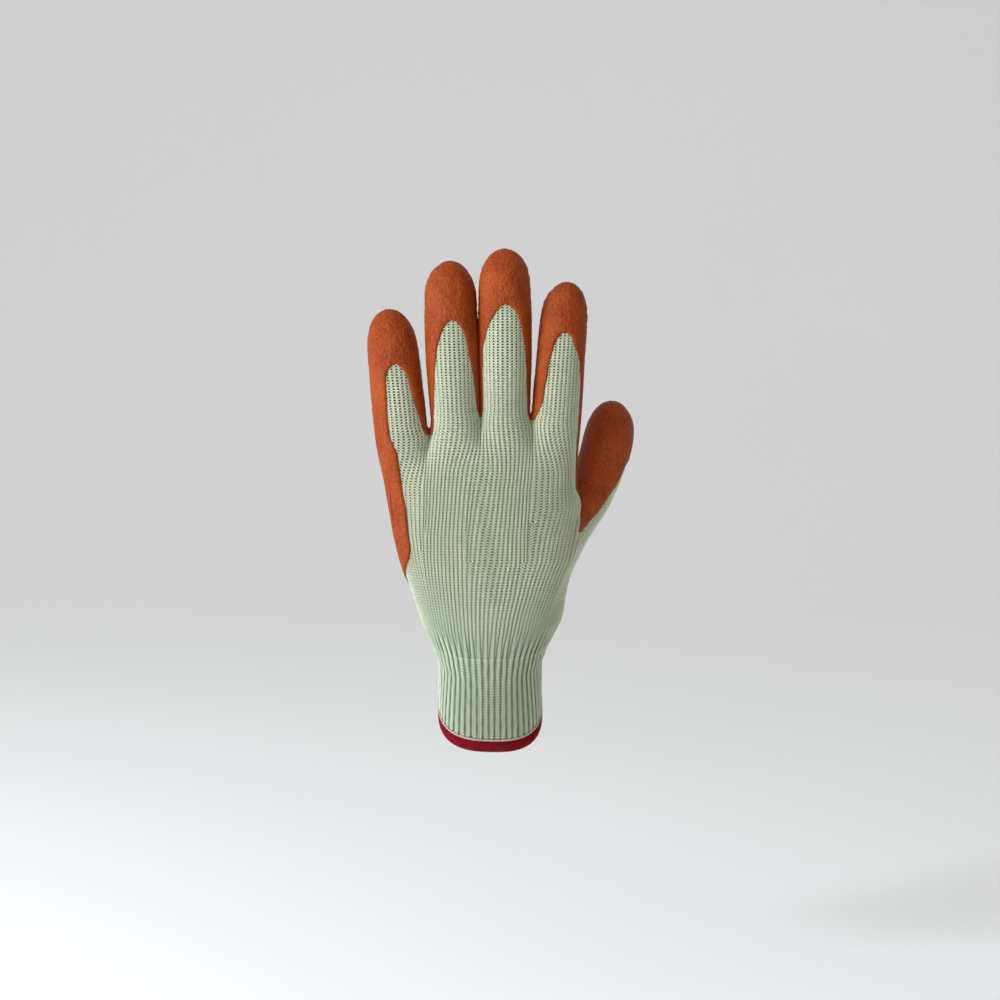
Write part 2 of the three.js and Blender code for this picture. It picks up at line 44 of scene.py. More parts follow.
# Knit surface of the glove, in millimetres: the same sizes as the model
PALM_LENGTH = 111.0
PALM_DEPTH = 20.0
PALM_ROUNDNESS = 2.3
CUFF_ROUNDNESS = 2.7
KNUCKLE_BLEND = 26.0
THUMB_BLEND = 54.0
WEBS = [102.5, 111.0, 109.5, 68.0]
THENAR_HEIGHT = 9.5
THENAR_INSET = 12.0
EDGE_PULL = 4
WEB_SPREAD = 2.2
LINER_WALL = 1.4
COATING_WALL = 0.9
PIECE_GAP = 0.3
SLOT_CLEARANCES = [0.9, -0.4, 0.2]
WEB_LIFT = 2.6
WEB_FADE = 4.0
THUMB_WEB_FADE = 10.0
CUFF_LENGTH = 33.0
CUFF_WALL = 2.0
CUFF_TAPER = 0.22
WRIST_WIDTH = 49.4
WRIST_DEPTH = 46.0
HEM_HEIGHT = 6.8
HEM_THICKNESS = 3.4
CUFF_LEAN = math.radians(30)
BEND_LENGTH = 34.0
BEND_START = 14.0
RIM_SLOPE = math.tan(math.radians(12))
RIM_SIDE_SLOPE = math.tan(math.radians(2))
TIP_CAP = 0.78
TIP_BLUNTNESS = 2.3
COATING_SIDE = 35.0
COATING_PALM = 16.0
COATING_THUMB = 55.5
DIP_POWER = 0.7

FINGERS = [
    dict(name="finger_little", length=57.8, width=23.2, depth=20.6, lean=-6.0, curl=13, bow=1.0, swell=-0.03),
    dict(name="finger_ring", length=72.3, width=21.6, depth=21.2, lean=-2.8, curl=12, bow=1.3, swell=0.07),
    dict(name="finger_middle", length=78.1, width=21.6, depth=20.8, lean=-0.2, curl=11, bow=1.3, swell=0.07),
    dict(name="finger_index", length=63.8, width=21.6, depth=18.8, lean=5.2, curl=10, bow=0.9, swell=-0.04),
    dict(name="thumb", length=47.8, width=22.0, depth=23.2, lean=11.6, curl=1, bow=2.0, swell=0.0),
]
SWELL_END = 0.45
THUMB = 4
THUMB_TURN = math.radians(84)
THUMB_OFFSET = 6.0
THUMB_SET_BACK = 11.8

PALM_SECTIONS = dict(
    up=[0.00, 0.11, 0.25, 0.39, 0.50, 0.70, 0.88, 1.00],
    left=[-0.286, -0.345, -0.398, -0.449, -0.478, -0.516, -0.546, -0.565],
    right=[0.276, 0.346, 0.402, 0.440, 0.430, 0.418, 0.422, 0.435],
    front=[1.00, 0.96, 0.86, 0.78, 0.74, 0.70, 0.65, 0.56],
    back=[1.00, 0.98, 0.97, 0.95, 0.90, 0.78, 0.68, 0.60],
)

# Wales of each strip at the wrist; every second one sinks between the ribs of the cuff
WALES = [11, 11, 11, 11, 12]
WALE_START = [0, 11, 22, 33, 44]
FRONT_WALES = sum(WALES)
EDGES_WRIST = [(1 - math.cos(math.pi * n / FRONT_WALES)) / 2 for n in WALE_START]
PROFILE_UP = [0.00, 0.30, 0.60, 0.80, 1.00]
PROFILE_WIDTH = [1.00, 1.02, 1.00, 0.96, 0.92]
PROFILE_DEPTH = [1.00, 1.00, 0.97, 0.92, 0.86]

# Open windows of the latex: up is a share of the finger's length, left and right of its front half
WINDOWS = [
    dict(up=[0.03, 0.23, 0.42, 0.51, 0.58], left=[0.35, 0.36, 0.38, 0.39, 0.52],
         right=[0.85, 0.75, 0.68, 0.66, 0.52]),
    dict(up=[0.00, 0.12, 0.27, 0.43, 0.54, 0.63], left=[0.12, 0.18, 0.23, 0.29, 0.36, 0.52],
         right=[0.92, 0.86, 0.80, 0.72, 0.68, 0.52]),
    dict(up=[0.00, 0.12, 0.26, 0.42, 0.53, 0.61, 0.685],
         left=[0.10, 0.12, 0.14, 0.17, 0.25, 0.35, 0.52],
         right=[0.93, 0.88, 0.84, 0.79, 0.74, 0.68, 0.52]),
    dict(up=[0.00, 0.14, 0.30, 0.46, 0.57, 0.655], left=[0.16, 0.28, 0.31, 0.34, 0.39, 0.53],
         right=[0.92, 0.91, 0.88, 0.80, 0.67, 0.53]),
    dict(up=[-0.25, -0.12, 0.02, 0.16, 0.30, 0.43], left=[0.08, 0.20, 0.29, 0.34, 0.39, 0.55],
         right=[0.90, 0.90, 0.90, 0.85, 0.75, 0.55]),
]
INDEX_SIDE_START = 88.0
INDEX_SIDE_RISE = 14.0
SIDE_UP = [0.31, 0.35, 0.39, 0.43, 0.50, 0.62, 0.73, 0.83, 0.93]
SIDE_EDGE = [0.02, 0.34, 0.60, 0.70, 0.70, 0.68, 0.61, 0.47, 0.39]

SLOTS = [2 * (PIECE_GAP + COATING_WALL) + gap for gap in SLOT_CLEARANCES] + [0.0]
PALM_WIDTH = sum(f["width"] for f in FINGERS[:THUMB]) + sum(SLOTS)
EDGES_TOP = [0.0]
filled = 0.0
for finger, slot in zip(FINGERS[:THUMB], SLOTS):
    finger["x"] = PALM_WIDTH * PALM_SECTIONS["left"][-1] + filled + finger["width"] / 2
    finger["back"] = 0.0
    finger["turn"] = 0.0
    filled += finger["width"] + slot
    EDGES_TOP.append((filled - slot / 2) / PALM_WIDTH)
FINGERS[THUMB]["x"] = PALM_WIDTH * np.interp(
    WEBS[3] / PALM_LENGTH, PALM_SECTIONS["up"], PALM_SECTIONS["right"]) + THUMB_OFFSET
FINGERS[THUMB]["back"] = THUMB_SET_BACK + FINGERS[THUMB]["width"] / 2
FINGERS[THUMB]["turn"] = THUMB_TURN
ROOTS = [WEBS[0], max(WEBS[0], WEBS[1]), max(WEBS[1], WEBS[2]), WEBS[2], WEBS[3]]


def smooth(value):
    share = np.clip(value, 0, 1)
    return share * share * (3 - 2 * share)


def mix(a, b, share):
    return a + (b - a) * share


def stack(x, y, z):
    return np.stack(np.broadcast_arrays(x, y, z), axis=-1).astype(float)


def finger_point(index, side, s, z):
    f = FINGERS[index]
    t = np.minimum(1.0, (z - ROOTS[index]) / f["length"])
    cap = TIP_CAP * f["width"] / f["length"]
    into = np.clip((t - (1 - cap)) / cap, 0, 1)
    around = np.sqrt(np.maximum(0, 1 - into ** TIP_BLUNTNESS))
    lean = 1 - np.sign(1 - t) * np.abs(1 - t) ** f["bow"]
    curl = np.where(t > 0, t * t, 0)
    width = f["width"] * (1 + f["swell"] * smooth(t / SWELL_END))
    a = width / 2 * np.interp(t, PROFILE_UP, PROFILE_WIDTH) * around
    b = f["depth"] / 2 * np.interp(t, PROFILE_UP, PROFILE_DEPTH) * around
    across = -a * np.cos(np.pi * s)
    out = side * b * np.sin(np.pi * s)
    c, n = math.cos(f["turn"]), math.sin(f["turn"])
    x = f["x"] + f["lean"] * lean + across * c - out * n
    y = f["back"] + f["curl"] * curl + across * n + out * c
    return stack(x, y, z)


def palm_section(z):
    up = np.asarray(z) / PALM_LENGTH
    cols = [np.interp(up, PALM_SECTIONS["up"], PALM_SECTIONS[c]) for c in ("left", "right", "front", "back")]
    left, right = PALM_WIDTH * cols[0], PALM_WIDTH * cols[1]
    front, back = PALM_DEPTH * cols[2], PALM_DEPTH * cols[3]
    into = smooth(-np.asarray(z) / (CUFF_LENGTH * CUFF_TAPER))
    middle = (left + right) / 2
    left = mix(left, middle - WRIST_WIDTH / 2, into)
    right = mix(right, middle + WRIST_WIDTH / 2, into)
    return left, right, mix(front, WRIST_DEPTH / 2, into), mix(back, WRIST_DEPTH / 2, into)


def palm_point(side, angle, z):
    left, right, front, back = palm_section(z)
    middle, half = (left + right) / 2, (right - left) / 2
    z = np.asarray(z)
    on_palm, on_cuff = smooth(z / PALM_LENGTH * 2), smooth(-z / CUFF_LENGTH)
    roundness = 2 + (PALM_ROUNDNESS - 2) * on_palm + (CUFF_ROUNDNESS - 2) * on_cuff
    c = -np.cos(angle)
    s = np.maximum(0, np.sin(angle))
    reach = (np.abs(c) ** roundness + s ** roundness) ** (-1 / roundness)
    out = np.where(z < 0, c * reach, np.sign(c) * np.abs(c) ** (2 / roundness))
    up = np.where(z < 0, s * reach, s ** (2 / roundness))
    depth = np.where(np.asarray(side) < 0, front, back)
    return stack(middle + half * out, side * depth * up, z)


def web_share(edge, z):
    reach = THUMB_BLEND if edge == THUMB - 1 else KNUCKLE_BLEND
    below = np.clip((WEBS[edge] - z) / reach, 0, 1)
    return 1 - (1 - below) ** WEB_SPREAD


def edge_angle(edge, z):
    if edge < 0:
        return np.zeros_like(z)
    if edge >= THUMB:
        return np.full_like(z, math.pi)
    wrist = EDGES_WRIST[edge + 1]
    if edge == THUMB - 1:
        return mix(math.pi, math.acos(1 - 2 * wrist), web_share(edge, z))
    return np.arccos(1 - 2 * mix(wrist, EDGES_TOP[edge + 1], smooth(z / PALM_LENGTH)))


def web_point(edge):
    z = WEBS[edge]
    if edge == THUMB - 1:
        a = palm_point(-1, math.pi, z)
    else:
        a = finger_point(edge, -1, 1.0, z)
    point = (a + finger_point(edge + 1, -1, 0.0, z)) / 2
    return point[0], point[1]


def edge_point(edge, side, z):
    on_palm = palm_point(side, edge_angle(edge, z), z)
    share = web_share(edge, z)[..., None]
    wx, wy = web_point(edge)
    point = mix(stack(wx, wy, z), on_palm, share)
    if edge == THUMB - 1 and side > 0:
        bulge = np.sin(np.pi * share[..., 0])
        point[..., 1] += THENAR_HEIGHT * bulge
        point[..., 0] -= THENAR_INSET * bulge
    return point


def raw_point(index, side, s, z):
    angle = mix(edge_angle(index - 1, z), edge_angle(index, z), s)
    reach = THUMB_BLEND if index == THUMB else KNUCKLE_BLEND
    share = smooth(1 - (ROOTS[index] - z) / reach)[..., None]
    return mix(palm_point(side, angle, z), finger_point(index, side, s, z), share)


def joined_edge(index, edge, side, s, z):
    raw = raw_point(index, side, np.full_like(z, s), z)
    if edge < 0 or edge >= THUMB:
        return np.zeros_like(raw)
    reach = THUMB_WEB_FADE if edge == THUMB - 1 else WEB_FADE
    fade = 1 - smooth((z - WEBS[edge]) / reach)
    return (edge_point(edge, side, z) - raw) * fade[..., None]


def strip_point(index, side, s, z):
    """Point of the outer knit surface, before the cuff's bend."""
    s, z = np.broadcast_arrays(np.asarray(s, float), np.asarray(z, float))
    inside = np.clip(s, 0, 1)
    point = raw_point(index, side, inside, z)
    point = point + joined_edge(index, index - 1, side, 0, z) * ((1 - inside) ** EDGE_PULL)[..., None]
    return point + joined_edge(index, index, side, 1, z) * (inside ** EDGE_PULL)[..., None]


def bend(point):
    down = BEND_START - point[..., 2]
    radius = BEND_LENGTH / CUFF_LEAN
    angle = np.clip(down, 0, BEND_LENGTH) / radius
    rest = np.maximum(0, down - BEND_LENGTH)
    y = radius * (1 - np.cos(angle)) + rest * np.sin(angle)
    z = BEND_START - radius * np.sin(angle) - rest * np.cos(angle)
    y_out = y + point[..., 1] * np.cos(angle)
    z_out = np.where(down > 0, z + point[..., 1] * np.sin(angle), point[..., 2])
    return stack(point[..., 0], np.where(down > 0, y_out, point[..., 1]), z_out)


rim_left, rim_right, _, _ = palm_section(-CUFF_LENGTH)
RIM_CENTRE = bend(stack((rim_left + rim_right) / 2, 0.0, -CUFF_LENGTH))


def place(point):
    return bend(point) - RIM_CENTRE


def palm_dip(index, s):
    across = np.clip((index + s) / len(FINGERS), 0, 1)
    return (COATING_SIDE - COATING_PALM) * np.sin(np.pi * across) ** DIP_POWER


def cuff_local(turn, down, offset):
    turn = np.mod(turn, 1.0)
    side = np.where(turn < 0.5, -1.0, 1.0)
    angle = np.pi * np.where(turn < 0.5, 2 * turn, 2 - 2 * turn)
    step = 0.001
    point = palm_point(side, angle, -down)
    ahead = palm_point(side, angle + step, -down) - palm_point(side, angle - step, -down)
    outward = stack(ahead[..., 1], -ahead[..., 0], 0.0) * -side[..., None]
    outward /= np.linalg.norm(outward, axis=-1)[..., None]
    point = point + outward * np.asarray(offset)[..., None]
    tilt = RIM_SLOPE * point[..., 1] - RIM_SIDE_SLOPE * point[..., 0]
    point[..., 2] += tilt * smooth(down / CUFF_LENGTH)
    return point


def cuff_point(turn, down, offset):
    turn, down, offset = np.broadcast_arrays(*[np.asarray(v, float) for v in (turn, down, offset)])
    return place(cuff_local(turn, down, offset))


FINE = 1440
fine_turns = np.arange(FINE + 1) / FINE
fine_points = cuff_point(fine_turns, CUFF_LENGTH / 2, 0.0)
fine_lengths = np.concatenate([[0], np.cumsum(np.linalg.norm(np.diff(fine_points, axis=0), axis=1))])
WRIST_ROUND = fine_lengths[-1]


def even_turn(share):
    """Turn at a share of the wrist's length round."""
    whole = np.floor(share)
    return np.interp(share - whole, fine_lengths / WRIST_ROUND, fine_turns) + whole


def rib_height(turn):
    """Ridge of the ribs: 1 on a ridge, 0 in a groove."""
    return 0.5 + 0.5 * np.cos(2 * np.pi * (turn * FRONT_WALES - 0.25))


# Meshes
def new_object(name, verts, faces, material):
    mesh = bpy.data.meshes.new(name)
    mesh.from_pydata((np.asarray(verts) * MM).tolist(), [], [tuple(int(v) for v in f) for f in faces])
    mesh.materials.append(material)
    mesh.polygons.foreach_set("use_smooth", [True] * len(mesh.polygons))
    mesh.update()
    obj = bpy.data.objects.new(name, mesh)
    bpy.context.scene.collection.objects.link(obj)
    return obj


def weld(verts, values, faces, distance=0.02):
    """Joins the vertices that lie together and drops the cells that fall flat."""
    bm = bmesh.new()
    layer = bm.verts.layers.float.new("value")
    made = []
    for v, value in zip(verts.tolist(), values.tolist()):
        vert = bm.verts.new(v)
        vert[layer] = value
        made.append(vert)
    for f in faces:
        corners = [made[i] for i in f]
        try:
            bm.faces.new(corners)
        except ValueError:
            pass
    bmesh.ops.remove_doubles(bm, verts=bm.verts, dist=distance)
    loose = [v for v in bm.verts if not v.link_faces]
    bmesh.ops.delete(bm, geom=loose, context="VERTS")
    bm.verts.index_update()
    bm.normal_update()
    out = np.array([v.co[:] for v in bm.verts])
    normals = np.array([v.normal[:] for v in bm.verts])
    kept = np.array([v[layer] for v in bm.verts])
    polys = [[v.index for v in f.verts] for f in bm.faces]
    bm.free()
    return out, normals, kept, polys


def open_edges(polys):
    seen = {}
    for f in polys:
        for i, a in enumerate(f):
            b = f[(i + 1) % len(f)]
            seen[(a, b)] = True
    return [e for e in seen if (e[1], e[0]) not in seen]


def wall(verts, normals, polys, inner, outer):
    """A closed wall from one offset of a surface to another."""
    count = len(verts)
    points = np.concatenate([verts + normals * outer, verts + normals * inner])
    faces = list(polys) + [[i + count for i in reversed(f)] for f in polys]
    faces += [[b, a, a + count, b + count] for a, b in open_edges(polys)]
    return points, faces


class Patch:
    """Gathers grids of the knit surface and joins them into one."""

    def __init__(self):
        self.verts, self.values, self.faces, self.count = [], [], [], 0

    def grid(self, points, side, keep, value=0.0):
        rows, cols = points.shape[:2]
        self.verts.append(points.reshape(-1, 3))
        self.values.append(np.broadcast_to(value, (rows, cols)).reshape(-1).astype(float))
        ids = np.arange(rows * cols).reshape(rows, cols) + self.count
        a, b, c, d = ids[:-1, :-1], ids[:-1, 1:], ids[1:, 1:], ids[1:, :-1]
        quads = np.stack([a, b, c, d] if side < 0 else [d, c, b, a], axis=-1)
        self.faces += quads[keep].tolist()
        self.count += rows * cols

    def welded(self):
        return weld(np.concatenate(self.verts), np.concatenate(self.values), self.faces)


def strip_rows(index, step, cap_steps):
    """Row heights of a strip: even up to the rounded tip, then closing in."""
    f = FINGERS[index]
    root, top = ROOTS[index], ROOTS[index] + f["length"]
    cap = top - TIP_CAP * f["width"]
    stops = sorted(set([0.0, COATING_SIDE, COATING_THUMB] + WEBS + [root + WEB_LIFT, cap]))
    stops = [z for z in stops if z <= cap + TINY]
    rows = [0.0]
    for low, high in zip(stops, stops[1:]):
        n = max(1, round((high - low) / step))
        rows += [low + (high - low) * k / n for k in range(1, n + 1)]
    for k in range(1, cap_steps + 1):
        rows.append(cap + (top - cap) * (1 - (1 - k / cap_steps) ** 2))
    return np.array(rows)


# Liner: its depth under the knit surface, the spacing of its points and the crease beside the thumb
LINER_OFFSET = 1.1
LINER_INNER = LINER_WALL + 0.5
LINER_STEP = 2.0
LINER_CAP_ROWS = 9
LINER_COLUMNS = 15
CREASE_LOW = 33.0
CREASE_HIGH = 70.0
CREASE_SHARE = 0.30


def in_crease(index, side, s, z):
    """Cells of the palm side, next to the thumb, where the knit lies under a fold of the latex."""
    beside = s > 1 - CREASE_SHARE if index == THUMB - 1 else s < CREASE_SHARE
    folded = side > 0 and index >= THUMB - 1
    return folded & beside[None, :] & ((z > CREASE_LOW) & (z < CREASE_HIGH))[:, None]


def liner_piece(name, index_list, part):
    """The plain wall under the stitches of the hand or of one finger, coloured dark olive as painted shade in
    the holes between the stitches.
    """
    patch = Patch()
    s = np.linspace(0, 1, LINER_COLUMNS)
    cell_s = (s[1:] + s[:-1]) / 2
    for index in index_list:
        rows = strip_rows(index, LINER_STEP, LINER_CAP_ROWS)
        split = ROOTS[index] + WEB_LIFT
        rows = rows[rows <= split + TINY] if part == "hand" else rows[rows >= split - TINY]
        cell_z = (rows[1:] + rows[:-1]) / 2
        for side in (-1, 1):
            points = place(strip_point(index, side, s[None, :], rows[:, None]))
            patch.grid(points, side, ~in_crease(index, side, cell_s, cell_z))
    verts, normals, _, polys = patch.welded()
    points, faces = wall(verts, normals, polys, -LINER_INNER, -LINER_OFFSET)
    return new_object(name, points, faces, knit_hole_painted_shade)


# Edges of the latex windows, as shares across the front of a strip
WINDOW_STEPS = 240
ARCH_LENGTH = 0.10
ARCH_OVERRUN = 0.02
ARCH_INSET = 0.05
EDGE_SMOOTHING = 12
OPEN_SHARE = 0.03
WINDOW_WOBBLE = 0.012
SIDE_WOBBLE = 0.008
SIDE_BLEND_BELOW = 9.0
SIDE_BLEND = 12.0


def window_edges(index, z):
    """Left and right edge of a window: smoothed table lines that close in an arch."""
    w = WINDOWS[index]
    up = (z - ROOTS[index]) / FINGERS[index]["length"]
    fine = np.linspace(w["up"][0], w["up"][-1], WINDOW_STEPS)
    close = np.clip((w["up"][-1] - fine) / ARCH_LENGTH, 0, 1)
    arch = np.sqrt(1 - (1 - close) ** 2)
    centre = (w["left"][-1] + w["right"][-1]) / 2
    ups = w["up"][:-1] + [w["up"][-1] + ARCH_OVERRUN]
    kernel = np.hanning(2 * EDGE_SMOOTHING + 1)
    kernel /= kernel.sum()
    edges = []
    for column, inset in (("left", ARCH_INSET), ("right", -ARCH_INSET)):
        edge = np.interp(fine, ups, w[column][:-1] + [w[column][-2] + inset])
        edge = np.convolve(np.pad(edge, EDGE_SMOOTHING, mode="edge"), kernel, mode="valid")
        edges.append(np.interp(up, fine, mix(centre, edge, arch)))
    return edges


def wobble(z, seed, size):
    """Uneven line along a height, from sines."""
    return size * (np.sin(z * 4.3 + seed) + np.sin(z * 2.1 + seed * 2.7) + np.sin(z * 7.9 + seed * 1.3)) / 3


def bare_limits(index, z):
    """Left and right end of the bare knit across the front of a strip."""
    left, right = window_edges(index, z)
    is_open = right - left > OPEN_SHARE
    left = left + np.where(is_open, wobble(z, index + 0.4, WINDOW_WOBBLE), 0)
    right = right + np.where(is_open, wobble(z, index + 2.6, WINDOW_WOBBLE), 0)
    if index == 0:
        side = np.interp(z / PALM_LENGTH, SIDE_UP, SIDE_EDGE) + wobble(z, 5.1, SIDE_WOBBLE)
        left = mix(side, left, smooth((z - (WEBS[0] - SIDE_BLEND_BELOW)) / SIDE_BLEND))
    if index == THUMB - 1:
        right = mix(1.0, right, smooth((z - INDEX_SIDE_START) / INDEX_SIDE_RISE))
    return left, right


def latex_starts(index):
    """Lowest height of the latex on the left and right of a strip's front."""
    left = COATING_SIDE if index == 0 else (COATING_THUMB if index == THUMB else WEBS[index - 1])
    right = WEBS[index] if index < THUMB - 1 else COATING_THUMB
    return left, right


# Materials
def srgb(r, g, b):
    out = []
    for value in (r, g, b):
        v = value / 255
        out.append(v / 12.92 if v <= 0.04045 else ((v + 0.055) / 1.055) ** 2.4)
    return (*out, 1.0)


class Shader:
    """Principled material with noise in its colour and a fine bump."""

    def __init__(self, name, roughness, specular):
        self.material = bpy.data.materials.new(name)
        self.material.use_nodes = True
        self.tree = self.material.node_tree
        self.main = self.tree.nodes["Principled BSDF"]
        self.main.inputs["Roughness"].default_value = roughness
        self.main.inputs["Specular IOR Level"].default_value = specular
        self.coord = self.tree.nodes.new("ShaderNodeTexCoord")
        self.heights = []

    def noise(self, scale, detail=2.0, stretch=(1, 1, 1)):
        mapping = self.tree.nodes.new("ShaderNodeMapping")
        mapping.inputs["Scale"].default_value = stretch
        self.tree.links.new(self.coord.outputs["Object"], mapping.inputs["Vector"])
        node = self.tree.nodes.new("ShaderNodeTexNoise")
        node.inputs["Scale"].default_value = scale
        node.inputs["Detail"].default_value = detail
        self.tree.links.new(mapping.outputs["Vector"], node.inputs["Vector"])
        return node.outputs["Fac"]

    def ramp(self, value, stops):
        node = self.tree.nodes.new("ShaderNodeValToRGB")
        elements = node.color_ramp.elements
        while len(elements) < len(stops):
            elements.new(0.5)
        for element, (place_at, colour) in zip(elements, stops):
            element.position = place_at
            element.color = colour
        self.tree.links.new(value, node.inputs["Fac"])
        return node.outputs["Color"]

    def height_share(self, low, high):
        """0 below one height and 1 above another."""
        split = self.tree.nodes.new("ShaderNodeSeparateXYZ")
        self.tree.links.new(self.coord.outputs["Object"], split.inputs["Vector"])
        node = self.tree.nodes.new("ShaderNodeMapRange")
        node.inputs["From Min"].default_value = low
        node.inputs["From Max"].default_value = high
        self.tree.links.new(split.outputs["Z"], node.inputs["Value"])
        return node.outputs["Result"]

    def blend(self, kind, factor, a, b):
        node = self.tree.nodes.new("ShaderNodeMix")
        node.data_type = "RGBA"
        node.blend_type = kind
        if isinstance(factor, float):
            node.inputs["Factor"].default_value = factor
        else:
            self.tree.links.new(factor, node.inputs["Factor"])
        self.tree.links.new(a, node.inputs["A"])
        self.tree.links.new(b, node.inputs["B"])
        return node.outputs["Result"]

    def colour(self, socket):
        self.tree.links.new(socket, self.main.inputs["Base Color"])

    def bump(self, value, distance, strength):
        node = self.tree.nodes.new("ShaderNodeBump")
        node.inputs["Distance"].default_value = distance
        node.inputs["Strength"].default_value = strength
        self.tree.links.new(value, node.inputs["Height"])
        if self.heights:
            self.tree.links.new(self.heights[-1], node.inputs["Normal"])
        self.heights.append(node.outputs["Normal"])
        self.tree.links.new(node.outputs["Normal"], self.main.inputs["Normal"])


# Noise scales of the materials
YARN_SPOTS = 900
YARN_PATCHES = 14.0
YARN_FIBRES = 5200
GROUND_SPOTS = 700
GROUND_GRAIN = 2600
LATEX_PATCHES = 150
LATEX_SPECKS = 1300
LATEX_CRINKLE = 640
LATEX_GRAIN = 1500
WHITE = (1, 1, 1, 1)

# Heights in metres below and above which the yarn has its low and its high colours
LOW_COLOUR = 0.030
HIGH_COLOUR = 0.075


def yarn_material(name, pale, middle, tint, sheen=0.2, low_pale=None, low_middle=None):
    """Spotted yarn; the low colours take over towards the wrist."""
    shade = Shader(name, 0.92, 0.12)
    spots = shade.ramp(shade.noise(YARN_SPOTS), [(0.30, middle), (0.66, pale)])
    if low_pale:
        low = shade.ramp(shade.noise(YARN_SPOTS), [(0.30, low_middle), (0.66, low_pale)])
        spots = shade.blend("MIX", shade.height_share(LOW_COLOUR, HIGH_COLOUR), low, spots)
    patches = shade.ramp(shade.noise(YARN_PATCHES, 1.0), [(0.35, tint), (0.65, WHITE)])
    shade.colour(shade.blend("MULTIPLY", 1.0, spots, patches))
    shade.bump(shade.noise(YARN_FIBRES, 3.0, (1, 1, 0.25)), 0.00012, 0.8)
    shade.main.inputs["Sheen Weight"].default_value = sheen
    shade.main.inputs["Sheen Roughness"].default_value = 0.6
    return shade.material


def plain_material(name, dark, pale, roughness):
    shade = Shader(name, roughness, 0.08)
    shade.colour(shade.ramp(shade.noise(GROUND_SPOTS), [(0.3, dark), (0.7, pale)]))
    shade.bump(shade.noise(GROUND_GRAIN), 0.0002, 0.6)
    return shade.material


def latex_material():
    shade = Shader("crinkled_latex", 0.52, 0.22)
    patches = shade.ramp(shade.noise(LATEX_PATCHES, 3.0, (1, 1, 0.5)),
                         [(0.34, srgb(152, 59, 5)), (0.68, srgb(170, 74, 11))])
    specks = shade.ramp(shade.noise(LATEX_SPECKS, 3.0), [(0.38, (0.60, 0.50, 0.42, 1)), (0.56, WHITE)])
    shade.colour(shade.blend("MULTIPLY", 0.8, patches, specks))
    shade.bump(shade.noise(LATEX_CRINKLE, 3.0, (1, 1, 0.75)), 0.0012, 0.8)
    shade.bump(shade.noise(LATEX_GRAIN, 3.0), 0.0005, 0.8)
    return shade.material


LOW_PALE = srgb(220, 230, 206)
LOW_MIDDLE = srgb(186, 198, 172)
CUFF_TINT = (0.92, 0.97, 0.93, 1)
knit_pale = yarn_material("pale_knit_yarn", srgb(230, 234, 208), srgb(194, 200, 168), (0.90, 0.95, 0.88, 1),
                          low_pale=LOW_PALE, low_middle=LOW_MIDDLE)
cuff_pale = yarn_material("cuff_knit_yarn", LOW_PALE, LOW_MIDDLE, CUFF_TINT)
# The sunk stitches get a darker copy of the cuff's yarn: painted shade in the grooves between the ribs.
cuff_groove_painted_shade = yarn_material("cuff_sunk_yarn_painted_shade", srgb(176, 190, 158), srgb(146, 160, 128), CUFF_TINT)
# The knit's ground is coloured dark olive: painted shade for the holes between the stitches.
knit_hole_painted_shade = plain_material("knit_ground_painted_shade", srgb(30, 36, 14), srgb(54, 60, 32), 0.95)
# The cuff's ground is a darker green-grey than its yarn: painted shade in the grooves between the ribs.
cuff_wall_painted_shade = plain_material("cuff_ground_painted_shade", srgb(118, 130, 100), srgb(150, 162, 128), 0.95)
hem_thread = yarn_material("overlock_thread", srgb(150, 8, 30), srgb(112, 3, 17), (0.85, 0.8, 0.8, 1), 0.03)
latex_skin = latex_material()
# Dark red-brown for the fold line: painted shade of the crease in the latex.
latex_crease_painted_shade = plain_material("latex_fold", srgb(96, 34, 8), srgb(120, 44, 12), 0.6)


# Pieces
def as_piece(obj, slot, *nodes):
    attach(obj, "root")
    if nodes:
        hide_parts(*nodes)
    return obj


as_piece(liner_piece("liner_hand", range(len(FINGERS)), "hand"), "knit", "hand")
for number, finger in enumerate(FINGERS):
    as_piece(liner_piece("liner_" + finger["name"], [number], "finger"), "knit", finger["name"])


# Latex skin: flaps on both sides of each window, and the whole palm side
SKIN_STEP = 0.85
SKIN_CAP_ROWS = 26
FLAP_COLUMNS = 15
PALM_COLUMNS = 38
CLOSED_SHARE = 0.01

# Crinkle: size of its cells in millimetres, and how far each is moved within the noise
FOLD_CELL = dict(across=2.0, up=2.8, move_x=0, move_y=0)
FINE_CELL = dict(across=1.15, up=1.5, move_x=40, move_y=0)
BROAD_CELL = dict(across=7.0, up=12.0, move_x=0, move_y=9)
CRINKLE_LEVEL = 0.26
CRINKLE_FOLD = 0.68
CRINKLE_FINE = 0.20
CRINKLE_BROAD = 0.12
CRINKLE_FAINT = 0.25
TIP_START = 165.0
TIP_BLEND = 25.0
TIP_EDGE = 1.5
TIP_EDGE_BLEND = 6.0

# Rise of the skin over the knit surface: low at its edge, and a rim that goes into the knit
SKIN_RISE = 0.62
SKIN_SWELL = 0.46
SKIN_EDGE_BLEND = 1.6
RIM_DEPTH = 0.5


